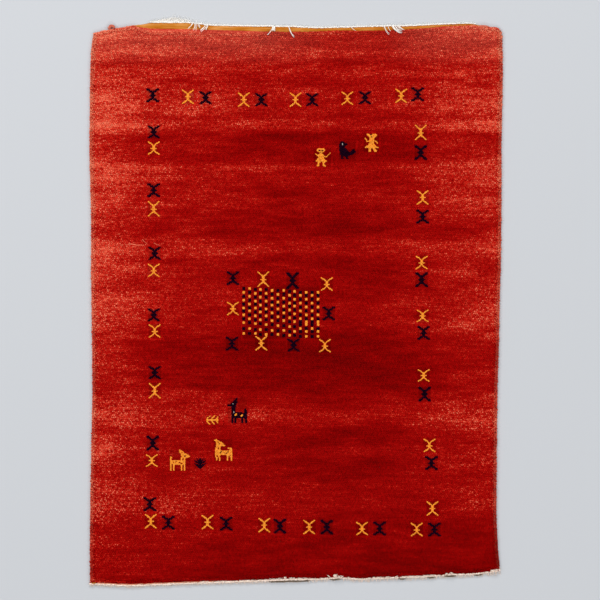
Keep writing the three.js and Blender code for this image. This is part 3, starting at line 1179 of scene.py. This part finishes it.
def cut_ends(end, depths, lengths, count):
    """The paths of a fringe's cut warp ends, which lie on the floor beyond their heading."""
    paths = []
    for k in range(count):
        share_of_end = (k + chance.uniform(0.1, 0.9)) / count
        x = lengths[0]["at"] + share_of_end * (lengths[-1]["at"] - lengths[0]["at"])
        length = HEADING_DEPTH * 0.5 + float(read(lengths, "length", x)) * chance.uniform(0.4, 1.3)
        sway = chance.uniform(-1, 1) * (1.5 + 0.35 * length)
        wave = chance.uniform(-1, 1) * 1.6
        rise = chance.uniform(0, 2.8)
        share = np.linspace(0, 1, 7)
        root = root_of(depths, x, 0.5)
        across = x + sway * share**1.5 + wave * np.sin(share * math.pi * 1.5)
        height = 1.8 + rise * np.sin(share * math.pi) - 0.9 * share
        paths.append(place(across, end * (PILE_LENGTH / 2 + root + share * length), height))
    return paths


def arch(end, across, root, back, rise):
    """The path of a ply that climbs from the heading to the pile's top as it reaches back over the edge."""
    climbed = np.clip(back / max(root - 1.0, 2.0), 0, 1)
    height = 3.0 + (TUFT_TOP - 1.2) * climbed + rise
    return place(across, end * (PILE_LENGTH / 2 + root - back), height)


def standing_ends(end, depths, rows):
    """The paths of the plies that leave the heading, arch over the rug's end and lie on the pile."""
    share = np.linspace(0, 1, PLY_STATIONS)
    paths = []
    for row in rows:
        root = root_of(depths, row["x"], 0.6)
        for _ in range(row["plies"]):
            reach = row["reach"] * chance.uniform(0.75, 1.1)
            swing = row["swing"] + chance.uniform(-1, 1) * row["spread"] * 0.6
            across = row["x"] + chance.uniform(-1, 1) * row["spread"]
            across = across + swing * share**1.9 + 1.2 * np.sin(share * 5)
            rise = chance.uniform(0.5, 3.0) * np.sin(share * math.pi)
            paths.append(arch(end, across, root, reach * share, rise))
    return paths


def short_ends(end, depths):
    """The paths of short plies that stand up from the heading against the edge of the pile."""
    share = np.linspace(0, 1, PLY_STATIONS)
    paths = []
    for x in chance.uniform(SHORT_ENDS["from"], SHORT_ENDS["to"], SHORT_ENDS["count"]):
        root = root_of(depths, x, 0.7)
        reach = root + chance.uniform(-8.0, -2.5)
        across = x + chance.uniform(-4, 4) * share
        rise = chance.uniform(0, 1.5) * np.sin(share * math.pi)
        paths.append(arch(end, across, root, reach * share, rise))
    return paths


def thread_along_end(start, stop, out, height):
    """The path of a thread that lies along the lower end, out from the pile's edge."""
    x = np.linspace(start, stop, 40)
    wander = 0.5 * np.sin(x / 9.0 + start) + 0.3 * np.sin(x / 3.7)
    return place(x, -PILE_LENGTH / 2 - out - wander, height + 0.3 * np.sin(x / 5.0))


def lower_end_threads(salmon, orange, shadow_wool):
    """The threads that lie along the lower end: the twined cord, its orange tuft and the dark threads that
    are painted shadow under the fringe.
    """
    pieces = []
    trims = (("twined_cord", TWINED_CORD, salmon), ("orange_tuft", ORANGE_TUFT, orange))
    for name, thread, material in trims:
        path = thread_along_end(thread["from"], thread["to"], thread["out"], thread["height"])
        pieces.append(loose_yarns(name, [path], [thread["radius"]], 0.8, material))
    paths = []
    # The dark threads are painted shadow: they stand for the shade under the fringe's edge.
    for row in SHADOW_THREAD_STRETCHES:
        first = root_of(LOWER_KILIM, (row["from"] + row["to"]) / 2, 1.0) + SHADOW_THREAD["out"]
        for further in (0.0, SHADOW_THREAD["apart"]):
            start, stop = row["from"] + 3 * further, row["to"] - 3 * further
            paths.append(thread_along_end(start, stop, first + further, SHADOW_THREAD["height"]))
    radii = [SHADOW_THREAD["radius"]] * len(paths)
    pieces.append(loose_yarns("painted_shadow_threads", paths, radii, 0.7, shadow_wool))
    return pieces


def stray_yarns(material):
    """The pale yarns that lie loose on the pile."""
    share = np.linspace(0, 1, 14)
    paths = []
    for row in STRAY_YARNS:
        x = row["from"][0] + (row["to"][0] - row["from"][0]) * share
        y = row["from"][1] + (row["to"][1] - row["from"][1]) * share + 0.8 * np.sin(share * 9)
        paths.append(place(x, y, TUFT_TOP + unevenness(x, y) + 1.2))
    radii = [row["radius"] for row in STRAY_YARNS]
    return loose_yarns("stray_yarns", paths, radii, 0.6, material)


def wisp_hairs():
    """The paths of the wisp's fine hairs, combed over to the right in low arches."""
    share = np.linspace(0, 1, 10)
    paths = []
    for _ in range(WISP["hairs"]):
        run = WISP["run"] * chance.uniform(0.4, 1.0)
        x = chance.uniform(WISP["from"], WISP["to"]) - 0.2 * run
        from_peak = abs(x + 0.5 * run - WISP["peak"])
        rise = WISP["rise"] * max(1.1 - from_peak / 75, 0.15) * chance.uniform(0.3, 1.0)
        across = x + run * share
        out = read(UPPER_KILIM, "depth", across) + HEADING_DEPTH * 0.7
        out = out + rise * np.sin(share * math.pi * chance.uniform(0.6, 1.0))
        height = 2.0 + chance.uniform(0, 3) * np.sin(share * math.pi)
        paths.append(place(across, PILE_LENGTH / 2 + out, height))
    return paths


def fringe(name, parts, material, node):
    """Joins a fringe's heading and ends into the piece that stands for its node."""
    deselect()
    for part in parts:
        part.select_set(True)
    bpy.context.view_layer.objects.active = parts[0]
    bpy.ops.object.join()
    parts[0].name = name
    face_out(parts[0])
    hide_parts(node)
    return finish_piece(parts[0], material)


def upper_fringe(material):
    """Fine, short and white, with ends fallen forward over the rug and a combed-out wisp."""
    cut = cut_ends(1, UPPER_KILIM, UPPER_FRINGE, CUT_ENDS["upper"])
    fallen = standing_ends(1, UPPER_KILIM, FALLEN_ENDS)
    hairs = wisp_hairs()
    parts = [
        heading_lumps("upper_heading", 1, UPPER_KILIM, UPPER_FRINGE, UPPER_HEADING),
        tubes("upper_cut_ends", cut, chance.uniform(0.4, 0.65, len(cut))),
        tubes("upper_fallen_ends", fallen, chance.uniform(0.8, 1.2, len(fallen)), 0.8),
        tubes("upper_wisp", hairs, chance.uniform(0.3, 0.5, len(hairs)), 0.4),
    ]
    return fringe("warp_ends_upper", parts, material, "fringe_upper")


def lower_fringe(material):
    """Thick and worn, with frayed bunches that stand up over the edge of the pile."""
    cut = cut_ends(-1, LOWER_KILIM, LOWER_FRINGE, CUT_ENDS["lower"])
    frayed = standing_ends(-1, LOWER_KILIM, FRAYED_ENDS) + short_ends(-1, LOWER_KILIM)
    parts = [
        heading_lumps("lower_heading", -1, LOWER_KILIM, LOWER_FRINGE, LOWER_HEADING),
        tubes("lower_cut_ends", cut, chance.uniform(0.7, 1.1, len(cut))),
        tubes("lower_frayed_ends", frayed, chance.uniform(0.8, 1.2, len(frayed)), 0.7),
    ]
    return fringe("warp_ends_lower", parts, material, "fringe_lower")


# The overcast sides


def side_binding(name, side, material, node):
    """The cord along one side with its overcast wool, wrap beside wrap: side is 1 for the right one."""
    start, stop = -WRAP["half_length"], WRAP["half_length"]
    rings = int((stop - start) / WRAP["pitch"] * WRAP["rings"])
    angle = (np.arange(WRAP["sides"]) * 2 * math.pi / WRAP["sides"])[None, :]
    y = np.linspace(start, stop, rings)
    bulge = 1 + 0.12 * np.sin(y * 2 * math.pi / WRAP["pitch"]) + 0.05 * np.sin(y / 37.0)
    end_taper = np.clip(np.minimum(y - start, stop - y) / WRAP["end"] + 0.45, 0, 1)
    size = (bulge * end_taper)[:, None]
    half_width = (SIDE_CORD_WIDTH + 0.6) / 2
    half_height = SIDE_CORD_HEIGHT / 2
    across = side * (WIDTH / 2 - SIDE_CORD_WIDTH / 2) + half_width * size * np.cos(angle)
    height = half_height * (1.02 + size * np.sin(angle))
    along = y[:, None] + WRAP["slant"] * np.sin(angle)
    points = place(across, along, np.maximum(height, 0.1)).reshape(-1, 3)
    piece = joined_copies(name, (None, tube_faces(rings, WRAP["sides"])), points[None, :, :])
    face_out(piece)
    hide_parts(node)
    return finish_piece(piece, material)


def corner_cord_ends(material):
    """The overcast cords' ends that stand out at the rug's upper corners: a loop and a turned-in end."""
    share = np.linspace(0, 1, 14)
    loop = place(
        -694 + 22 * share - 2.0 * np.sin(share * math.pi),
        1001 + 11.5 * np.sin(share * math.pi * 0.85 + 0.2),
        6.6 + 1.0 * np.sin(share * math.pi),
    )
    turned_in = place(
        674 + 30 * share,
        1000 + 2.0 * np.sin(share * math.pi * 0.8),
        5.4 + 1.0 * np.sin(share * math.pi),
    )
    return loose_yarns("corner_cord_ends", [loop, turned_in], [6.3, 4.8], 0.8, material)


# Building the rug

gold_wool = dyed_wool("gold_wool", (0.93, 0.25, 0.012), (1.0, 0.41, 0.055), bump=0.2)
navy_wool = dyed_wool("navy_wool", (0.0045, 0.0002, 0.0006), (0.012, 0.0012, 0.012), sheen=0.0)
cream_wool = dyed_wool("cream_wool", (0.42, 0.42, 0.38), (0.66, 0.65, 0.58))
clean_cotton = dyed_wool("clean_cotton", (0.84, 0.80, 0.74), (0.96, 0.94, 0.90), 700.0, bump=0.2)
worn_cotton = dyed_wool("worn_cotton", (0.86, 0.64, 0.52), (1.0, 0.88, 0.78), 700.0, bump=0.2)
# Dark brown cotton for the threads of painted shadow under the lower fringe.
shadow_cotton = dyed_wool("shadow_cotton", (0.10, 0.07, 0.045), (0.22, 0.16, 0.11), 700.0)
salmon_wool = dyed_wool("salmon_wool", (0.66, 0.22, 0.12), (0.84, 0.40, 0.26))
stray_wool = dyed_wool("stray_wool", (0.80, 0.16, 0.085), (0.95, 0.26, 0.15))
coral_wool = dyed_wool("coral_wool", (0.46, 0.09, 0.055), (0.68, 0.19, 0.12))
orange_weave = flatweave_wool(
    "orange_flatweave", dark=(0.50, 0.165, 0.012), light=(0.72, 0.33, 0.10), dull=(0.30, 0.07, 0.008)
)
peach_weave = flatweave_wool(
    "peach_flatweave", dark=(0.70, 0.36, 0.22), light=(0.84, 0.58, 0.42), dull=(0.55, 0.18, 0.10)
)

knots, charted_boxes = motif_knots()

# The wool between the tufts is set darker (lift -0.12): painted shade, the shade that falls between the
# tufts.
ground = red_ground(red_wool("red_ground", -0.12))
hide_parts("rug_cloth")

field_x, field_y = field_tufts(charted_boxes)
for rim_x, rim_y in (end_rim_tufts(), side_rim_tufts(RIM_INSETS[PALE_RIM_INSETS:])):
    field_x = np.concatenate([field_x, rim_x])
    field_y = np.concatenate([field_y, rim_y])
yarn = chance.choice(len(RED_YARNS), len(field_x), p=[row["share"] for row in RED_YARNS])
tuft = tuft_shape(3, 0.5)
for k, row in enumerate(RED_YARNS):
    chosen = yarn == k
    wool = red_wool("red_wool_" + row["name"], row["lift"])
    plant_field("pile_" + row["name"], tuft, field_x[chosen], field_y[chosen], wool)

# The outermost tufts along the sides are paler and pinker: partly wear, partly painted sheen.
pale_rim_x, pale_rim_y = side_rim_tufts(RIM_INSETS[:PALE_RIM_INSETS])
pale_rim_wool = red_wool("red_wool_pale_rim", 0.045, wear_and_sheen=(0.04, 0.10))
plant_field("pile_pale_rim_sides", tuft, pale_rim_x, pale_rim_y, pale_rim_wool)

small_tuft = tuft_shape(3, 0.6)
square_tuft = tuft_shape(4, 1.0)
charted_red = red_wool("red_wool_charted", 0.02)
knots["gold"] = drawn_in(knots["gold"], OUTER_GOLD_PULL)
for piece_name, shape, wool_name, material, slot in (
    ("pile_around_motifs", small_tuft, "red", charted_red, "pile_wool"),
    ("gold_motifs", square_tuft, "gold", gold_wool, "gold_wool"),
    ("navy_motifs", square_tuft, "navy", navy_wool, "navy_wool"),
    ("cream_motif_knots", square_tuft, "cream", cream_wool, "fringe_cotton"),
):
    width = KNOT_WIDTH[wool_name]
    plant_motif(piece_name, shape, knots[wool_name], width, material)
stray_yarns(stray_wool)

kilim_pieces = [
    kilim_end("kilim_upper", 1, UPPER_KILIM, start_inside=17.0, material=orange_weave),
    kilim_end("kilim_lower", -1, LOWER_KILIM, start_inside=4.5, material=peach_weave),
]
kilim_pieces += lower_end_threads(salmon_wool, orange_weave, shadow_cotton)
fringe_pieces = [upper_fringe(clean_cotton), lower_fringe(worn_cotton)]
# The side bindings are one wool, the left one paler towards the lower end: partly wear, partly painted
# sheen.
left_wool = red_wool("side_wool_left", 0.08, wear_and_sheen=(0.20, 0.12))
right_wool = red_wool("side_wool_right", 0.05, wear_and_sheen=(0.0, 0.12))
side_pieces = [
    side_binding("side_binding_left", -1, left_wool, "side_cord_left"),
    side_binding("side_binding_right", 1, right_wool, "side_cord_right"),
    corner_cord_ends(coral_wool),
]


# The pale floor, soft studio light and the camera

# The photograph's frame in pixels, the middle of the rug in it, a pixel's size in millimetres, and the
# camera's height in metres.
VIEW = {"half_width": 300, "rug_x": 296.5, "rug_y": 305, "pixel": 3.65, "height": 12.0}
SENSOR = 36
LIGHTS = table(
    "name place turn size power",
    ("light_left", (-6.0, 1.5, 6.2), (0, -44, 0), 4.0, 240),
    ("light_right", (6.0, 0.0, 6.2), (0, 44, 0), 4.0, 180),
    ("light_above_upper_end", (-0.6, 8.5, 5.6), (-56.5, 0, 0), 2.2, 540),
    ("light_below_lower_end", (0.0, -6.5, 5.6), (49, 0, 0), 3.0, 185),
)
FLOOR_GREY = (0.545, 0.56, 0.585, 1)
SKY = (0.96, 0.98, 1.0, 1)
SKY_STRENGTH = 0.35


def pale_floor():
    deselect()
    bpy.ops.mesh.primitive_plane_add(size=16, location=(0, 0, 0))
    floor = bpy.context.object
    floor.name = "studio_floor"
    material = bpy.data.materials.new("pale_floor")
    material.use_nodes = True
    shader = material.node_tree.nodes["Principled BSDF"]
    shader.inputs["Base Color"].default_value = FLOOR_GREY
    shader.inputs["Roughness"].default_value = 0.9
    floor.data.materials.append(material)


def soft_light(row):
    deselect()
    turn = [math.radians(degrees) for degrees in row["turn"]]
    bpy.ops.object.light_add(type="AREA", location=row["place"], rotation=turn)
    light = bpy.context.object
    light.name = row["name"]
    light.data.shape = "SQUARE"
    light.data.size = row["size"]
    light.data.energy = row["power"]
    light.visible_camera = False


def camera_above():
    """A camera straight above the rug, whose frame takes in as much round it as the photograph's does."""
    frame_width = 2 * VIEW["half_width"] * VIEW["pixel"] * MM
    middle_x = (VIEW["half_width"] - VIEW["rug_x"]) * VIEW["pixel"] + SHIFT_X
    middle_y = (VIEW["rug_y"] - VIEW["half_width"]) * VIEW["pixel"] + SHIFT_Y
    place_of = (middle_x * MM, middle_y * MM, VIEW["height"])
    bpy.ops.object.camera_add(location=place_of, rotation=(0, 0, 0))
    camera = bpy.context.object
    camera.data.sensor_width = SENSOR
    camera.data.lens = SENSOR * (VIEW["height"] - TUFT_TOP * MM) / frame_width
    camera.data.clip_end = 100
    bpy.context.scene.camera = camera


pale_floor()
for light_row in LIGHTS:
    soft_light(light_row)
camera_above()

world = bpy.data.worlds.new("studio")
world.use_nodes = True
world.node_tree.nodes["Background"].inputs["Color"].default_value = SKY
world.node_tree.nodes["Background"].inputs["Strength"].default_value = SKY_STRENGTH
bpy.context.scene.world = world
bpy.context.scene.view_settings.view_transform = "Standard"
